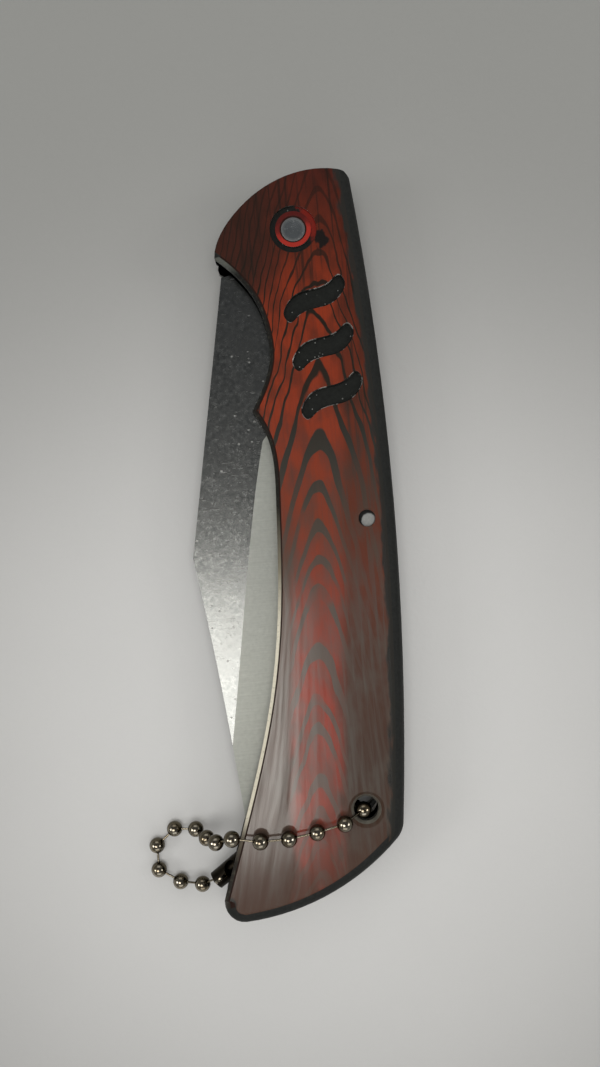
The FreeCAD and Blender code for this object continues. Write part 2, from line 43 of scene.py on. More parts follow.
class Finish:
    """A material laid down node by node; a method adds nodes and returns the output of the last."""

    def __init__(self, name, **plain):
        self.material = bpy.data.materials.new(name)
        self.material.use_nodes = True
        self.tree = self.material.node_tree
        self.tree.nodes.clear()
        self.shader = self.tree.nodes.new("ShaderNodeBsdfPrincipled")
        output = self.tree.nodes.new("ShaderNodeOutputMaterial")
        self.tree.links.new(self.shader.outputs[0], output.inputs["Surface"])
        self.coordinates = self.tree.nodes.new("ShaderNodeTexCoord")
        self.mm = self.stretch(self.coordinates.outputs["Object"], (1000, 1000, 1000))
        self.x, self.y, self.z = self.split(self.mm)
        for socket, value in plain.items():
            self.shader.inputs[socket].default_value = value

    def add(self, kind, inputs, output=0, **settings):
        """One node of a kind: numbers go on its sockets, and outputs of other nodes get links."""
        node = self.tree.nodes.new(kind)
        for key, value in settings.items():
            setattr(node, key, value)
        for key, value in inputs.items():
            if isinstance(value, bpy.types.NodeSocket):
                self.tree.links.new(value, node.inputs[key])
            else:
                node.inputs[key].default_value = value
        return node.outputs[output]

    def split(self, vector):
        """The three numbers of a vector."""
        return self.add("ShaderNodeSeparateXYZ", {0: vector}).node.outputs[:]

    def stretch(self, vector, scale, move=(0, 0, 0)):
        """A place times a scale, plus a move."""
        return self.add("ShaderNodeMapping", {"Vector": vector, "Scale": scale, "Location": move})

    def calc(self, operation, *values):
        """One sum on numbers; MULTIPLY_ADD is the first times the second plus the third."""
        return self.add("ShaderNodeMath", dict(enumerate(values)), operation=operation)

    def step(self, value, low, high):
        """0 below low, 1 above high and smooth between; the other way round if low is above high."""
        if low > high:
            return self.without(self.step(value, high, low))
        return self.add("ShaderNodeMapRange", {"Value": value, "From Min": low, "From Max": high},
                        interpolation_type="SMOOTHSTEP")

    def both(self, *masks):
        """Product of masks, which is 1 only where all of them are."""
        whole = masks[0]
        for mask in masks[1:]:
            whole = self.calc("MULTIPLY", whole, mask)
        return whole

    def either(self, one, other):
        """The larger of two masks, which is 1 where one of them is."""
        return self.calc("MAXIMUM", one, other)

    def without(self, mask):
        """What a mask leaves: 1 minus it."""
        return self.calc("SUBTRACT", 1, mask)

    def blend(self, share, one, other):
        """Number or colour that goes from one to the other as share goes from 0 to 1."""
        kinds = [v.type if isinstance(v, bpy.types.NodeSocket) else type(v) for v in (one, other)]
        if tuple in kinds or "RGBA" in kinds:
            return self.add("ShaderNodeMix", {0: share, 6: one, 7: other}, 2, data_type="RGBA")
        return self.add("ShaderNodeMix", {0: share, 2: one, 3: other})

    def noise(self, vector, scale, detail=2.0, rough=0.5):
        """Cloudy noise from 0 to 1 with so many grains a unit of the vector."""
        return self.add("ShaderNodeTexNoise", {"Vector": vector, "Scale": scale, "Detail": detail,
                                               "Roughness": rough})

    def cells(self, vector, scale):
        """Distance to the nearest of scattered points."""
        return self.add("ShaderNodeTexVoronoi", {"Vector": vector, "Scale": scale}, "Distance")

    def ramp(self, value, stops):
        """Colours along a value; stops are (place from 0 to 1, colour)."""
        output = self.add("ShaderNodeValToRGB", {0: value})
        elements = output.node.color_ramp.elements
        elements[0].position, elements[0].color = stops[0]
        elements[1].position, elements[1].color = stops[-1]
        for place, colour in stops[1:-1]:
            elements.new(place).color = colour
        return output

    def levelness(self):
        """1 where the surface lies level, facing up or down, and 0 where it stands upright."""
        return self.calc("ABSOLUTE", self.split(self.coordinates.outputs["Normal"])[2])

    def softened(self, rounding):
        """Normals of the surface with its edges rounded by so many millimetres."""
        return self.add("ShaderNodeBevel", {"Radius": rounding / 1000}, samples=6)

    def relief(self, height, distance, base=None):
        """Bump of a height field, so many millimetres high, over other normals if they are given."""
        inputs = {"Height": height, "Distance": distance / 1000, "Strength": 1.0}
        if base:
            inputs["Normal"] = base
        return self.add("ShaderNodeBump", inputs)

    def finish(self, colour, metal, rough, normal=None, lacquer=None):
        """Joins what was worked out to the shader, and hands back the material."""
        for socket, value in (("Base Color", colour), ("Metallic", metal), ("Roughness", rough),
                              ("Normal", normal), ("Coat Weight", lacquer)):
            if isinstance(value, bpy.types.NodeSocket):
                self.tree.links.new(value, self.shader.inputs[socket])
            elif value is not None:
                self.shader.inputs[socket].default_value = value
        print(self.material.name, "has", len(self.tree.nodes), "nodes")
        return self.material


def dress(finish, *names):
    """Puts the finish on solids of the frame, through the objects' own slots."""
    for name in names:
        slot = nodes[name].material_slots[0]
        slot.link = "OBJECT"
        slot.material = finish
    print(finish.name, "is on", len(names), "solids")


print("middle grey on the screen is", round(paint(128, 128, 128)[0], 3), "in linear light")

# %% [markdown]
# ## The handle's print
# Each scale is a metal casting whose outer face was printed with a wood-grain film: nested arches along a
# middle line, like the flat-sawn face of a plank. An image would be the usual way. Here the grain is a
# formula instead: a point's height along the handle plus a rise that grows away from the middle line gives
# one number that is the same all along an arch, and a wave of that number draws the dark lines. The film
# changes from end to end, so most of its settings are given as stops along the handle. The finish of the
# scales is called sf, to keep the lines short.

# %% Settings that change along the handle
sf = Finish("printed_scale_finish", **{"Specular IOR Level": 0.2, "Coat IOR": 2.1, "Coat Roughness": 0.15})
handle_top, handle_end = 10.0, -102.0
handle_reach = handle_top - handle_end
share_down = sf.calc("DIVIDE", sf.calc("SUBTRACT", handle_top, sf.y), handle_reach)


def along_handle(*stops):
    """Number or colour by height: each stop is (millimetres from the pivot, number or screen colour)."""
    values = [paint(*value) if isinstance(value, tuple) else (value, value, value, 1) for _, value in stops]
    places = [(handle_top - height) / handle_reach for height, _ in stops]
    return sf.ramp(share_down, list(zip(places, values)))


def drift(across, along, move=0.0, detail=2.0, rough=0.5, place=None):
    """Noise from about -0.3 to 0.3, with so many grains a millimetre across and along the handle."""
    place = sf.mm if place is None else place
    waves = sf.noise(sf.stretch(place, (across, along, 0), (move, move, 0)), 1.0, detail, rough)
    return sf.calc("SUBTRACT", waves, 0.5)


print("stops are given over", handle_reach, "mm of handle")

# %% [markdown]
# The arches stand on a slightly leaning middle line. Their tops are round and their limbs run down steeply,
# which is a hyperbola: the root of the squared distance from the middle plus the squared size of the top.
# Real grain is never so even, so noise makes the middle line wander and shakes the arches up and down.

# %% Where the grain's arches stand
arch_tops = (-3.6, -7.6, -12.4, -20.4, -31.3, -37.1, -43.5, -47.7, -52.4, -61.1, -68.4, -72.6, -80.1)
top_size, limb_slope, limb_bend = 1.9, 3.1, 0.08
middle_lean, middle_at_pivot, middle_wander, shake_size = 0.077, 3.4, 2.4, 11.0
middle = sf.calc("MULTIPLY_ADD", sf.y, middle_lean, middle_at_pivot)
off_middle = sf.calc("MULTIPLY_ADD", drift(0.10, 0.05), middle_wander, sf.calc("SUBTRACT", sf.x, middle))
off_square = sf.calc("MULTIPLY", off_middle, off_middle)
limb = sf.calc("SUBTRACT", sf.calc("SQRT", sf.calc("ADD", off_square, top_size ** 2)), top_size)
rise = sf.calc("MULTIPLY_ADD", off_square, limb_bend, sf.calc("MULTIPLY", limb, limb_slope))
shake = along_handle((8, 0.2), (-2, 0.45), (-9, 0.8), (-24, 0.6), (-32, 0.2), (-60, 0.25), (-100, 0.5))
shaken = sf.calc("MULTIPLY", drift(0.30, 0.13, move=7.0), sf.calc("MULTIPLY", shake, shake_size))
height_on_arch = sf.calc("ADD", sf.calc("ADD", sf.y, rise), shaken)
print(len(arch_tops), "arches along the handle")

# %% [markdown]
# Plain wave textures space their lines evenly, and this grain does not. A curve node bends the height into
# line numbers: its points say which number each arch has, and past the arches the lines go on evenly.

# %% Bend the height into line numbers
grain_low, grain_high, side_spacing = -100.0, 60.0, 4.5
grain_reach = grain_high - grain_low
lines_above = (grain_high - arch_tops[0]) / side_spacing
lines_below = (arch_tops[-1] - grain_low) / side_spacing
line_range = lines_above + lines_below + len(arch_tops) - 1
grain_share = sf.calc("DIVIDE", sf.calc("SUBTRACT", height_on_arch, grain_low), grain_reach)
bend = sf.add("ShaderNodeFloatCurve", {"Value": grain_share})
curve = bend.node.mapping.curves[0]
curve.points[0].location = (0, 1)
curve.points[1].location = (1, 0)
for number, top in enumerate(arch_tops):
    curve.points.new((top - grain_low) / grain_reach, (number + lines_above) / line_range)
for point in curve.points:
    point.handle_type = "VECTOR"
bend.node.mapping.update()
line_number = sf.calc("MULTIPLY_ADD", bend, line_range, -lines_above)
print("line numbers run over", round(line_range, 1))

# %% [markdown]
# A cosine of the line number peaks on every line. The level at which it is cut sets how thick the lines
# are: hair lines round the recesses, broad bands below them. Slow noise thins the bands and breaks them up,
# and on both sides of the middle line the limbs fade out towards the butt.

# %% Cut the lines out of the wave
wave = sf.calc("COSINE", sf.calc("MULTIPLY", line_number, 2 * np.pi))
cut_level = along_handle((8, 0.76), (-4, 0.80), (-10, 0.84), (-25, 0.78), (-30, 0.48), (-39, 0.52),
                         (-55, 0.52), (-100, 0.56))
cut_level = sf.calc("MULTIPLY_ADD", drift(0.4, 0.2, move=3.0), 0.5, cut_level)
lines = sf.step(sf.calc("SUBTRACT", wave, cut_level), -0.10, 0.12)
line_depth = along_handle((8, 0.5), (-3, 0.75), (-9, 1.0), (-36, 0.95), (-46, 0.85), (-62, 0.9),
                          (-80, 0.8), (-98, 0.3))
unbroken = sf.step(drift(0.28, 0.16, move=11.0), -0.30, 0.0)
below_recesses = sf.step(sf.y, -32.0, -44.0)
lines = sf.both(lines, line_depth, sf.blend(below_recesses, 1.0, unbroken))
spine_limbs = sf.both(sf.step(off_middle, 2.6, 4.8), along_handle((-30, 0.0), (-48, 0.6), (-64, 0.8)))
mouth_limbs = sf.both(sf.step(off_middle, -3.0, -5.2), along_handle((-40, 0.0), (-54, 0.8)))
lines = sf.both(lines, sf.without(sf.either(spine_limbs, mouth_limbs)))
print("the lines take", len(sf.tree.nodes), "nodes so far")

# %% [markdown]
# The film's colours drift too: deep maroon at the pivot, orange by the recesses, then red in taupe. The
# maroon at the pivot end and on the crown is partly the film's colour and partly painted shade, for the
# light that falls off there. On the spine's side it is browner, with straight dark streaks, and by the mouth
# it is taupe. In the lower half the red breaks into patches, and it holds longest along the middle line.

# %% Colour the grain
# The darker stops at the pivot end are partly painted shade, for the light that falls off there.
wood_middle = along_handle((8, (80, 29, 17)), (-2, (100, 35, 15)), (-10, (138, 46, 15)),
                           (-27, (136, 47, 16)), (-42, (124, 48, 20)), (-58, (140, 48, 25)),
                           (-76, (148, 50, 32)), (-96, (132, 54, 38)))
wood_side = along_handle((8, (86, 31, 16)), (-8, (100, 35, 15)), (-28, (100, 40, 19)),
                         (-42, (94, 43, 23)), (-52, (98, 44, 24)), (-62, (80, 48, 34)),
                         (-80, (70, 50, 39)), (-100, (80, 52, 40)))
wood_mouth = along_handle((-36, (92, 56, 38)), (-50, (86, 60, 46)), (-66, (80, 58, 47)),
                          (-82, (72, 54, 44)), (-100, (78, 54, 43)))
band = along_handle((8, (36, 21, 14)), (-12, (33, 27, 19)), (-25, (36, 33, 25)), (-31, (44, 47, 41)),
                    (-45, (68, 66, 57)), (-60, (84, 78, 70)), (-80, (88, 82, 74)), (-100, (80, 68, 58)))
spine_side = sf.step(off_middle, 2.2, 4.6)
mouth_side = sf.both(sf.step(off_middle, -2.8, -4.8), sf.step(sf.y, -38.0, -49.0))
crown_side = sf.both(sf.step(off_middle, -3.0, -9.0), sf.step(sf.y, -16.0, -4.0))
side_wood = sf.blend(mouth_side, wood_side, wood_mouth)
wood = sf.blend(sf.either(spine_side, mouth_side), wood_middle, side_wood)
# The crown is coloured darker, partly the film's colour and partly painted shade.
wood = sf.blend(crown_side, wood, paint(64, 30, 20))
tone = sf.step(drift(0.5, 0.22, move=8.0, detail=3.0), -0.18, 0.14)
wood = sf.blend(tone, sf.blend(0.45, wood, band), wood)
patches = sf.step(drift(0.22, 0.10, move=5.0, detail=3.0), -0.10, 0.04)
worn_through = sf.both(sf.without(patches), along_handle((-50, 0.0), (-62, 0.75), (-100, 0.9)))
by_middle = sf.step(sf.calc("ABSOLUTE", off_middle), 3.8, 2.0)
kept_red = sf.both(by_middle, sf.step(sf.y, -97.0, -88.0), 0.65)
worn_through = sf.both(worn_through, sf.without(kept_red))
wood = sf.blend(worn_through, wood, side_wood)
print("colours of the grain are laid")

# %% [markdown]
# Fine streaks run along the handle. In the lower half they fan out: those by the mouth follow its slanting
# edge and those by the spine stay upright, so the place across is shifted before the noise reads it.

# %% Streak it along its length
fan_start, mouth_slant = -55.0, 0.21
below_start = sf.calc("MINIMUM", sf.calc("SUBTRACT", sf.y, fan_start), 0)
shift = sf.both(below_start, sf.step(off_middle, 6.0, -12.0), mouth_slant)
fanned = sf.add("ShaderNodeCombineXYZ", {0: sf.calc("SUBTRACT", sf.x, shift), 1: sf.y})
streaks = drift(1.5, 0.045, detail=3.0, rough=0.6, place=fanned)
hair_streaks = drift(3.2, 0.06, move=9.0, detail=3.0, rough=0.65, place=fanned)
middle_depth = along_handle((8, 0.75), (-6, 0.6), (-12, 0.12), (-28, 0.12), (-50, 0.2), (-100, 0.35))
spine_depth = along_handle((8, 0.6), (-26, 0.6), (-44, 0.4), (-100, 0.3))
streak_depth = sf.blend(spine_side, middle_depth, spine_depth)
wood = sf.blend(sf.both(sf.step(streaks, 0.02, 0.14), streak_depth), wood, band)
wood = sf.blend(sf.both(sf.step(hair_streaks, 0.03, 0.2), 0.2), wood, band)
grain = sf.blend(lines, wood, band)
print("the grain takes", len(sf.tree.nodes), "nodes so far")

# %% [markdown]
# The film ends in a dark uneven margin along the spine, whose edge is an arc: its centre follows from three
# of its points, because the same distance from all three is two equations in two unknowns. The tip of the
# butt is dark as well. Round the pivot the film is a red collar, painted lighter on its lower right and
# darker at its top as painted light and shade, and ink has run out of the groove on one side.

# %% Margin, collar and ink
pivot_at, butt_tip_at, ink_at = (0, 0), (-17.2, -96.8), (3.9, -1.7)
spine_points = np.array([(8.84, 7.10), (11.50, -40.00), (8.95, -88.60)])
chords = 2 * (spine_points[1:] - spine_points[0])
squares = (spine_points ** 2).sum(1)
spine_centre = np.linalg.solve(chords, squares[1:] - squares[0])
spine_radius = float(np.linalg.norm(spine_points[0] - spine_centre))


def distance_from(made, centre):
    """Distance in the plan, in millimetres, from a point of it."""
    flat_place = made.stretch(made.mm, (1, 1, 0))
    return made.add("ShaderNodeVectorMath", {0: flat_place, 1: (*centre, 0)}, 1, operation="DISTANCE")


inset = sf.calc("SUBTRACT", spine_radius, distance_from(sf, spine_centre.tolist()))
ragged_inset = sf.calc("MULTIPLY_ADD", drift(0.9, 0.25, move=2.0, detail=3.0), 2.2, inset)
butt_tip = sf.step(distance_from(sf, butt_tip_at), 1.3, 0.8)
margin = sf.either(sf.step(ragged_inset, 2.6, 2.0), butt_tip)
grain = sf.blend(sf.calc("MULTIPLY", margin, 0.95), grain, paint(40, 41, 38))
from_ink = sf.calc("MULTIPLY_ADD", drift(0.9, 0.7, move=4.0, detail=3.0), 3.0, distance_from(sf, ink_at))
grain = sf.blend(sf.step(from_ink, 1.45, 1.0), grain, paint(28, 22, 20))
from_pivot = distance_from(sf, pivot_at)
# Painted light and shade: the collar's red is lighter towards the lower right and darker at the top.
lower_right = sf.calc("SUBTRACT", sf.calc("MULTIPLY", sf.x, 0.3), sf.y)
collar_painted_light = sf.step(sf.calc("MULTIPLY_ADD", drift(0.8, 0.8), 3.0, lower_right), -1.5, 1.2)
collar = sf.blend(collar_painted_light, paint(84, 20, 15), paint(160, 40, 28))
print_colour = sf.blend(sf.step(from_pivot, 2.9, 2.6), grain, collar)
print("spine radius", round(spine_radius, 1), "mm")

# %% [markdown]
# ## The rest of the scale
# One casting carries several surfaces: a dark coat on the rounded rim and the outer walls, the ground edge
# along the mouth, black filled recesses and groove, and bare bores. They could be separate materials on
# separate faces. Since they differ in depth below the outer face and in place, masks from those find them
# all, and the casting keeps one finish. The film itself lies on the level face, and it reaches a little way
# down over the rim along the spine and over the rounded lip of the cord hole.

# %% Find the casting's surfaces
middle_height = 5.5
cord_hole_at, pin_at = (3.74, -84.7), (7.25, -42.6)
from_middle_height = sf.calc("SUBTRACT", sf.z, middle_height)
depth = sf.calc("SUBTRACT", middle_height, sf.calc("ABSOLUTE", from_middle_height))
near_spine = sf.step(inset, 2.3, 2.2)
past_rim = sf.step(inset, 1.44, 1.50)
from_cord_hole = distance_from(sf, cord_hole_at)
from_pin = distance_from(sf, pin_at)
in_cord_hole = sf.step(from_cord_hole, 3.3, 3.2)
on_hole_lip = sf.both(sf.step(from_cord_hole, 2.1, 2.25), in_cord_hole)
wraps_over = sf.either(sf.both(near_spine, sf.step(depth, 0.25, 0.2)),
                       sf.both(on_hole_lip, sf.step(depth, 0.5, 0.45)))
is_face = sf.either(sf.step(depth, 0.02, 0.008), wraps_over)
is_print = sf.both(is_face, past_rim)
right_of_mouth = sf.step(sf.x, -3.8, -3.6)
left_of_rim = sf.step(sf.calc("MULTIPLY_ADD", sf.y, 0.06, sf.x), 7.35, 7.25)
recess_rows = sf.both(sf.step(sf.y, -34.0, -33.5), sf.step(sf.y, -3.4, -3.6))
in_recesses = sf.both(right_of_mouth, left_of_rim, recess_rows)
in_groove = sf.step(from_pivot, 3.6, 3.5)
is_fill = sf.both(sf.either(in_recesses, in_groove), sf.step(depth, 1.1, 1.0))
above_butt = sf.step(sf.calc("MULTIPLY_ADD", sf.x, -0.267, sf.y), -93.0, -92.7)
is_mouth = sf.both(sf.without(right_of_mouth), above_butt, sf.step(sf.y, -3.0, -3.2))
is_bore = sf.either(in_cord_hole, sf.step(from_pin, 1.5, 1.4))
is_seat = sf.step(from_pivot, 2.2, 2.1)
print("masks of the casting's surfaces take", len(sf.tree.nodes), "nodes so far")

# %% [markdown]
# The coat is nearly black on the rim and a little lighter on the walls, with the cloudy grain of a casting.
# The walls' lighter colour is painted light, for the little lamp light that reaches them.
# The ground edge is bare metal coloured with painted light and shade: dull and dark round the finger curve,
# where its chamfer and wall lie in shadow, a light grey painted reflection by the crown, bright cream
# towards the butt, where it is lit, and darker again at the butt's end. A thin dark brown line runs along
# its top, next to the film. It could be a piece of its own, but its colours change only along the handle, so
# stops do it, and the casting's grain dirties them.

# %% Coat, bores and ground edge
cast = sf.noise(sf.mm, 2.2, detail=4.0, rough=0.6)
on_wall = sf.step(depth, 1.7, 2.2)
rim_coat = sf.blend(cast, paint(25, 26, 25), paint(48, 49, 47))
# Painted light: the walls are coloured lighter than the rim, as little lamp light reaches them.
wall_coat = sf.blend(cast, paint(30, 30, 29), paint(62, 62, 59))
coat = sf.blend(on_wall, rim_coat, wall_coat)
bare = sf.blend(cast, paint(92, 88, 79), paint(140, 136, 125))
# Painted shade: the pin's bore is coloured dark, as the inside of its hole in shadow.
bare = sf.blend(sf.step(from_pin, 2.0, 1.9), bare, paint(46, 44, 41))
# Painted light and shade along the ground edge: dark in shadow round the finger curve, a grey painted
# reflection by the crown, cream where lit towards the butt.
ground = along_handle((-4.2, (92, 94, 88)), (-5.8, (28, 28, 26)), (-40, (34, 32, 28)),
                      (-49, (140, 132, 114)), (-58, (246, 239, 216)), (-84, (236, 228, 205)),
                      (-88, (112, 102, 88)), (-91, (46, 42, 37)))
dirt = sf.calc("MULTIPLY", sf.step(cast, 0.5, 0.8), 0.5)
ground = sf.blend(dirt, ground, paint(112, 106, 90))
below_film = sf.step(depth, 0.19, 0.27)
ground_edge = sf.blend(below_film, paint(40, 20, 13), ground)
print("coat, bores and ground edge have their colours")

# %% [markdown]
# The fill in the recesses is gritty, with a few bright flecks of metal, and their rolled edges are polished
# enough to catch the lamps. The groove round the pivot has the same fill, with red from the collar on its
# spine side.

# %% Fill of the recesses and the groove
flecks = sf.step(sf.cells(sf.mm, 1.1), 0.13, 0.07)
grit = sf.blend(cast, paint(18, 19, 18), paint(40, 42, 39))
fill = sf.blend(flecks, grit, paint(186, 188, 184))
towards_spine = sf.calc("MULTIPLY_ADD", sf.y, 0.4, sf.x)
red_side = sf.calc("MULTIPLY_ADD", drift(0.9, 0.9, move=6.0), 3.0, towards_spine)
fill = sf.blend(sf.both(in_groove, sf.step(red_side, 1.6, 2.6)), fill, paint(124, 34, 24))
polished_edge = sf.step(depth, 0.3, 0.16)
wear_marks = sf.calc("MULTIPLY_ADD", in_groove, 0.12, sf.noise(sf.mm, 0.8, detail=3.0))
edge_wear = sf.both(polished_edge, sf.step(wear_marks, 0.5, 0.66))
fill = sf.blend(edge_wear, fill, paint(206, 204, 198))
bright_fill = sf.either(edge_wear, flecks)
print("fill has its grit, flecks and worn edges")

# %% [markdown]
# Each surface is a mask with a colour, a metal share and a roughness. Laid over the coat one after another,
# a later one covers the ones before it. Over the print lies a clear lacquer, rubbed thinner in streaks, and
# the casting's other surfaces have none.

# %% Lay the surfaces over one another
layers = ((is_mouth, ground_edge, 0.0, 0.45),
          (is_bore, bare, 0.6, 0.36),
          (is_fill, fill, bright_fill, sf.blend(polished_edge, 0.5, 0.22)),
          (is_seat, paint(70, 40, 34), 0.6, 0.4),
          (is_print, print_colour, 0.0, 0.5))
colour, metal, rough = coat, 0.0, sf.blend(on_wall, 0.58, 0.42)
for mask, layer_colour, layer_metal, layer_rough in layers:
    colour = sf.blend(mask, colour, layer_colour)
    metal = sf.blend(mask, metal, layer_metal)
    rough = sf.blend(mask, rough, layer_rough)
film = sf.calc("MULTIPLY_ADD", streaks, 0.2, sf.calc("MULTIPLY", hair_streaks, 0.04))
rubbed = sf.step(sf.calc("MULTIPLY_ADD", hair_streaks, 0.6, streaks), -0.5, 0.25)
lacquer_left = along_handle((-28, 0.35), (-50, 1.0), (-84, 1.0), (-92, 0.75))
lacquer = sf.both(sf.step(depth, 0.006, 0.002), sf.step(inset, 1.85, 2.0), rubbed, lacquer_left)
print(len(layers), "surfaces lie over the coat")

# %% [markdown]
# The rim along the spine is so nearly straight that its facets are long, and light breaks on them. Its true
# normals are known, though: they lean outwards along the arc's radius, more the nearer they are to the edge.

# %% Smooth the rim along the spine
rim_radius = 1.8
outwards = sf.add("ShaderNodeClamp", {"Value": sf.calc("MULTIPLY_ADD", inset, -1 / rim_radius, 1)})
upwards = sf.calc("SQRT", sf.calc("SUBTRACT", 1, sf.calc("MULTIPLY", outwards, outwards)))
on_rim = sf.step(depth, rim_radius + 0.05, rim_radius - 0.3)
side_up = sf.both(upwards, sf.calc("SIGN", from_middle_height), on_rim)
along_radius = sf.add("ShaderNodeVectorMath", {0: sf.mm, 1: (*spine_centre.tolist(), 0)}, 0,
                      operation="SUBTRACT")
radius_x, radius_y, _ = sf.split(along_radius)
lean = sf.calc("DIVIDE", outwards, spine_radius)
rim_normal = sf.add("ShaderNodeCombineXYZ", {0: sf.calc("MULTIPLY", radius_x, lean),
                                             1: sf.calc("MULTIPLY", radius_y, lean), 2: side_up})
rim_normal = sf.add("ShaderNodeVectorTransform", {0: rim_normal}, 0, vector_type="NORMAL",
                    convert_from="OBJECT", convert_to="WORLD")
on_spine = sf.both(sf.step(inset, 1.95, 1.85), sf.step(sf.y, -85.5, -85.0), sf.step(sf.y, 6.6, 6.2))
base = sf.add("ShaderNodeMix", {0: on_spine, 4: sf.softened(0.08), 5: rim_normal}, 1, data_type="VECTOR")
normal = sf.relief(sf.blend(is_print, cast, film), 0.03, base)
dress(sf.finish(colour, metal, rough, normal, lacquer), "front_scale", "rear_scale")

# %% [markdown]
# ## Blade
# The blade is stainless steel. Its flats were tumbled, so they are speckled with small dents and scratches;
# its bevels were ground across, which leaves fine lines from the back to the edge. The two lean by a few
# degrees only, so the way a point faces tells them apart, and the spine and edge face sideways.

# %% Steel of the blade
bf = Finish("blade_finish")
facing = bf.levelness()
is_flat = bf.step(facing, 0.9965, 0.999)
is_back = bf.step(facing, 0.7, 0.5)
speckle = bf.noise(bf.mm, 1.7, detail=5.0, rough=0.62)
clouds = bf.noise(bf.mm, 0.35, detail=3.0, rough=0.6)
nicks = bf.step(bf.cells(bf.stretch(bf.mm, (0.9, 1.3, 1)), 0.55), 0.12, 0.05)
scratch = bf.noise(bf.stretch(bf.mm, (0.35, 4.0, 1)), 1.0, detail=3.0, rough=0.7)
scratches = bf.both(bf.step(scratch, 0.63, 0.72), bf.step(clouds, 0.42, 0.58))
across = bf.noise(bf.stretch(bf.mm, (0.22, 7.0, 1)), 1.0, detail=3.0, rough=0.6)
tumbled = bf.blend(bf.step(speckle, 0.35, 0.68), paint(168, 173, 173), paint(208, 212, 212))
tumbled = bf.blend(bf.step(clouds, 0.35, 0.65), tumbled, paint(184, 188, 188))
bright_marks = bf.either(nicks, bf.calc("MULTIPLY", scratches, 0.7))
tumbled = bf.blend(bright_marks, tumbled, paint(236, 238, 236))
ground_steel = bf.blend(bf.blend(0.5, across, speckle), paint(164, 167, 158), paint(224, 226, 217))
steel = bf.blend(is_flat, ground_steel, tumbled)
steel = bf.blend(is_back, steel, paint(140, 141, 138))
flat_rough = bf.calc("MULTIPLY_ADD", speckle, 0.16, bf.blend(bright_marks, 0.17, 0.42))
steel_rough = bf.blend(is_flat, bf.calc("MULTIPLY_ADD", across, 0.16, 0.34), flat_rough)
flat_height = bf.calc("MULTIPLY_ADD", nicks, -0.6, bf.calc("MULTIPLY_ADD", scratches, -0.3, speckle))
steel_height = bf.blend(is_flat, across, flat_height)
steel_metal = bf.blend(is_flat, 0.5, 1.0)
steel_normal = bf.relief(steel_height, 0.008, bf.softened(0.05))
dress(bf.finish(steel, steel_metal, steel_rough, steel_normal), "blade")

# %% [markdown]
# ## Small steel pieces and washers
# The spring and the dowel are drawn or stamped steel with fine tool marks, and the washers are bronze. One
# recipe fits all of them: noise, stretched as the tool moved, sets the colour, the roughness and the relief.

# %% Spring, dowel and washers


def steel_finish(name, low, high, marks, rough):
    """Steel whose colour and roughness follow fine marks, stretched as the tool left them."""
    made = Finish(name)
    mark = made.noise(made.stretch(made.mm, marks), 1.0, detail=4.0, rough=0.6)
    colour = made.blend(mark, paint(*low), paint(*high))
    normal = made.relief(mark, 0.015, made.softened(0.06))
    return made.finish(colour, 1.0, made.calc("MULTIPLY_ADD", mark, 0.2, rough), normal)


dress(steel_finish("spring_finish", (96, 96, 94), (150, 150, 146), (6, 0.4, 6), 0.3), "back_spring")
dress(steel_finish("dowel_finish", (104, 106, 104), (150, 152, 150), (3, 3, 3), 0.4), "tail_dowel")
dress(steel_finish("washer_finish", (140, 104, 60), (186, 148, 92), (4, 4, 4), 0.35),
      "front_washer", "rear_washer")

# %% [markdown]
# The rivet's end was spun over, so its marks are rings about the pivot, which a sine of the distance from
# the pivot draws, and its rim is lighter than its middle.

# %% Rivet
rf = Finish("rivet_finish")
ring_waves = 26.0
rivet_out = distance_from(rf, pivot_at)
rings = rf.calc("SINE", rf.calc("MULTIPLY", rivet_out, ring_waves))
worn = rf.noise(rf.mm, 3.0, detail=3.0)
rivet_colour = rf.blend(rf.step(rivet_out, 1.1, 1.8), paint(112, 117, 120), paint(150, 153, 153))
rivet_colour = rf.blend(rf.step(worn, 0.62, 0.8), rivet_colour, paint(206, 207, 206))
rivet_rough = rf.calc("MULTIPLY_ADD", worn, 0.2, 0.36)
rivet_normal = rf.relief(rf.calc("MULTIPLY_ADD", rings, 0.2, worn), 0.03, rf.softened(0.1))
dress(rf.finish(rivet_colour, 0.75, rivet_rough, rivet_normal), "pivot_rivet")

# %% [markdown]
# The pin's end is dull and hammered. A dark crescent on one side of it is painted shade, where the hole's
# rim and the gap round the pin lie in shadow: all that lies outside a circle whose middle is off the pin's
# own.

# %% Pin
pf = Finish("pin_finish")
lit_at, lit_reach = (pin_at[0] + 0.28, pin_at[1] - 0.34), 1.05
hammered = pf.noise(pf.mm, 3.0, detail=4.0, rough=0.6)
from_lit = pf.calc("MULTIPLY_ADD", hammered, 0.3, distance_from(pf, lit_at))
# Painted shade: outside the lit circle the pin's end is coloured nearly black.
painted_shade = pf.step(from_lit, lit_reach, lit_reach + 0.25)
pin_steel = pf.blend(hammered, paint(150, 152, 149), paint(196, 197, 193))
pin_colour = pf.blend(painted_shade, pin_steel, paint(16, 15, 14))
pin_metal = pf.blend(painted_shade, 0.5, 0.0)
dress(pf.finish(pin_colour, pin_metal, 0.5, pf.relief(hammered, 0.02, pf.softened(0.06))), "spring_pin")

# %% [markdown]
# ## Bead chain
# The chain is nickel-plated brass: hollow balls on short dumb-bell wires. The plating is bright on top and
# below, where it is rubbed, and dark brown on the sides, where balls face each other: partly grime and
# partly painted shade, standing in for the dark ring round each ball. It mirrors its surroundings, so the
# rest of a ball's look comes from the lights. The clasp is darker and duller, partly as a dark finish and
# partly as painted shade for the shadow it lies in under the handle, and takes the recipe of the small steel
# pieces.

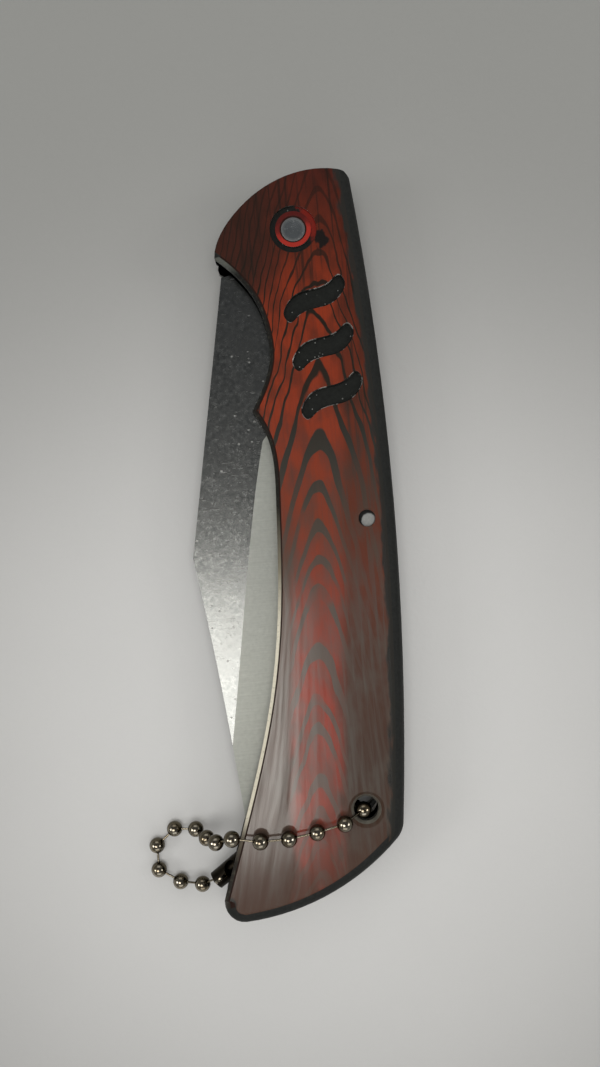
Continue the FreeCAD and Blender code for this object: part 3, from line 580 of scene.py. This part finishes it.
# %% Nickel of the chain
nf = Finish("nickel_finish")
tarnish = nf.noise(nf.mm, 0.9, detail=4.0, rough=0.6)
handled = nf.noise(nf.mm, 6.0, detail=3.0, rough=0.6)
top_and_bottom = nf.step(nf.levelness(), 0.45, 0.92)
# Grime and painted shade: the sides of the balls are coloured dark brown.
grime_and_shade = nf.blend(tarnish, paint(66, 61, 50), paint(104, 96, 79))
nickel = nf.blend(nf.step(tarnish, 0.35, 0.7), paint(214, 206, 188), paint(176, 160, 132))
nickel = nf.blend(top_and_bottom, grime_and_shade, nickel)
nickel_rough = nf.calc("MULTIPLY_ADD", handled, 0.16, 0.1)
chain_names = [name for name in nodes if name.startswith(("chain_bead", "chain_link"))]
dress(nf.finish(nickel, 1.0, nickel_rough, nf.relief(handled, 0.004)), *chain_names)
# The clasp's dark colour is partly its finish and partly painted shade.
dress(steel_finish("clasp_finish", (34, 31, 27), (64, 58, 49), (1.2, 1.2, 1.2), 0.3), "chain_connector")

# %% [markdown]
# ## Floor, lamps and camera
# The knife lies on a pale cloth-like sheet. Its colour is painted palest beside the knife's lower half and
# greyer further out and past the pivot end: a painted pool of light, with painted shade where it falls off.
# The floor turns up into a round wall far out, worked out as a profile carried round the upright axis, so
# that no horizon shows from any side. It lies a tenth of a millimetre low, because two faces at exactly one
# height flicker where they meet.

# %% A floor that curves up into a wall
floor_drop = 0.0001


def swept_floor(name, flat_radius, bend_radius, wall_height, rings, spokes):
    """Surface of revolution about +Z: level out to the flat radius, a quarter circle up, then a wall."""
    angle = np.linspace(0, np.pi / 2, rings)
    out = np.concatenate([np.linspace(0.02, 1, rings) * flat_radius,
                          flat_radius + bend_radius * np.sin(angle[1:]), [flat_radius + bend_radius]])
    up = np.concatenate([np.zeros(rings), bend_radius * (1 - np.cos(angle[1:])),
                         [bend_radius + wall_height]])
    up -= floor_drop
    turn = np.linspace(0, 2 * np.pi, spokes, endpoint=False)
    x, y = out[:, None] * np.cos(turn), out[:, None] * np.sin(turn)
    points = np.stack([x, y, np.broadcast_to(up[:, None], x.shape)], -1).reshape(-1, 3)
    points = np.concatenate([points, [[0, 0, -floor_drop]]])
    row, spoke = np.meshgrid(np.arange(len(out) - 1), np.arange(spokes), indexing="ij")
    here, there = row * spokes + spoke, row * spokes + (spoke + 1) % spokes
    quads = np.stack([here, here + spokes, there + spokes, there], -1).reshape(-1, 4)
    first = np.arange(spokes)
    fan = np.stack([np.full(spokes, len(points) - 1), first, (first + 1) % spokes], -1)
    mesh = bpy.data.meshes.new(name)
    mesh.from_pydata(points.tolist(), [], quads.tolist() + fan.tolist())
    mesh.shade_smooth()
    made = bpy.data.objects.new(name, mesh)
    bpy.context.scene.collection.objects.link(made)
    return made


floor = swept_floor("floor", flat_radius=0.7, bend_radius=0.3, wall_height=0.6, rings=24, spokes=96)
ff = Finish("floor_finish")
light_pool_at = (-3.0, -78.0)
mottle = ff.noise(ff.mm, 0.03, detail=4.0, rough=0.6)
weave = ff.noise(ff.mm, 1.2)
# Painted pool of light round the knife's lower half, with painted shade further out and past the pivot end.
outside_light_pool = ff.step(distance_from(ff, light_pool_at), 20.0, 110.0)
past_pivot = ff.step(ff.y, -50.0, 50.0)
sheet = ff.blend(mottle, paint(209, 208, 205), paint(215, 214, 211))
sheet = ff.blend(outside_light_pool, sheet, paint(158, 157, 154))
sheet = ff.blend(past_pivot, sheet, paint(154, 154, 150))
floor.data.materials.append(ff.finish(sheet, 0.0, 0.85, ff.relief(weave, 0.05)))
print("floor has", len(floor.data.polygons), "faces")

# %% [markdown]
# Each lamp is given by the brightness of its face, which is what a mirror shows, and its size; the power
# follows as brightness times area times pi. The lamp above the knife gives its light alone, because its
# image in the lacquer would be a white glare. The one beyond the butt gives its mirror image alone: that is
# the silvery haze on the lower print and the white wedge on the blade. The other lamps stand far out, where
# the level faces of the knife do not mirror them to the camera, and put small highlights on round pieces.

# %% Hang the lamps


def soft_lamp(name, place, size, brightness, target=None, tint=(1.0, 1.0, 1.0), gives="both"):
    """Rectangular lamp that faces straight down or a target; it gives its light, its image or both."""
    data = bpy.data.lights.new(name, "AREA")
    data.color = tint
    data.shape = "RECTANGLE"
    data.size, data.size_y = size
    data.energy = brightness * np.pi * size[0] * size[1]
    lamp = bpy.data.objects.new(name, data)
    bpy.context.scene.collection.objects.link(lamp)
    lamp.location = place
    if target:
        lamp.rotation_euler = (lamp.location - Vector(target)).to_track_quat("Z", "Y").to_euler()
    lamp.visible_camera = False
    lamp.visible_glossy = gives != "light"
    lamp.visible_diffuse = gives != "image"
    print(name, round(data.energy, 3), "W")


knife_middle = (-0.003, -0.044, 0.005)
warm_white = (1.0, 0.95, 0.88)
soft_lamp("butt_lamp", (-0.097, -0.140, 0.350), (0.17, 0.13), 2.7, tint=warm_white, gives="image")
soft_lamp("over_lamp", (-0.004, -0.052, 0.400), (0.18, 0.18), 6.2, gives="light")
soft_lamp("left_lamp", (-0.60, -0.10, 0.48), (0.22, 0.22), 4.0, knife_middle)
soft_lamp("right_lamp", (0.60, -0.10, 0.48), (0.22, 0.22), 3.3, knife_middle)
soft_lamp("foot_lamp", (0.0, -0.70, 0.44), (0.6, 0.4), 0.55, knife_middle)
soft_lamp("head_lamp", (0.0, 0.60, 0.40), (0.6, 0.4), 0.40, knife_middle)

# %% [markdown]
# The room could be one even grey. But the pivot half of the knife mirrors something dark, while its sides
# are lit from all round, so the world asks what kind of ray has come: to one that mirrors, the room is
# nearly black, and to any other it is a soft light.

# %% Light the room
room_light, room_mirrored = 0.55, 0.047
world = bpy.data.worlds.new("room")
world.use_nodes = True
ray = world.node_tree.nodes.new("ShaderNodeLightPath")
room_level = world.node_tree.nodes.new("ShaderNodeMix")
room_level.inputs[2].default_value = room_light
room_level.inputs[3].default_value = room_mirrored
background = world.node_tree.nodes["Background"]
background.inputs["Color"].default_value = (1.0, 1.0, 1.0, 1)
world.node_tree.links.new(ray.outputs["Is Glossy Ray"], room_level.inputs[0])
world.node_tree.links.new(room_level.outputs[0], background.inputs["Strength"])
bpy.context.scene.world = world
print("room lights at", room_light, "and is mirrored at", room_mirrored)

# %% [markdown]
# The camera looks straight down from 150 mm, slightly turned, as the photograph's perspective says: its
# picture is 1067 pixels tall and its focal length is 960 of those pixels.

# %% Set the camera
sensor_mm, photo_height, focal_pixels, camera_turn = 36, 1067, 960, -4.7
camera_data = bpy.data.cameras.new("above")
camera_data.sensor_width = sensor_mm
camera_data.lens = sensor_mm * focal_pixels / photo_height
camera_data.clip_start = 0.002
camera = bpy.data.objects.new("above", camera_data)
bpy.context.scene.collection.objects.link(camera)
camera.location = (-0.00260, -0.04403, 0.150)
camera.rotation_euler = (0, 0, np.radians(camera_turn))
bpy.context.scene.camera = camera
bpy.context.scene.view_settings.view_transform = "Standard"
print("camera has a lens of", round(camera_data.lens, 2), "mm")
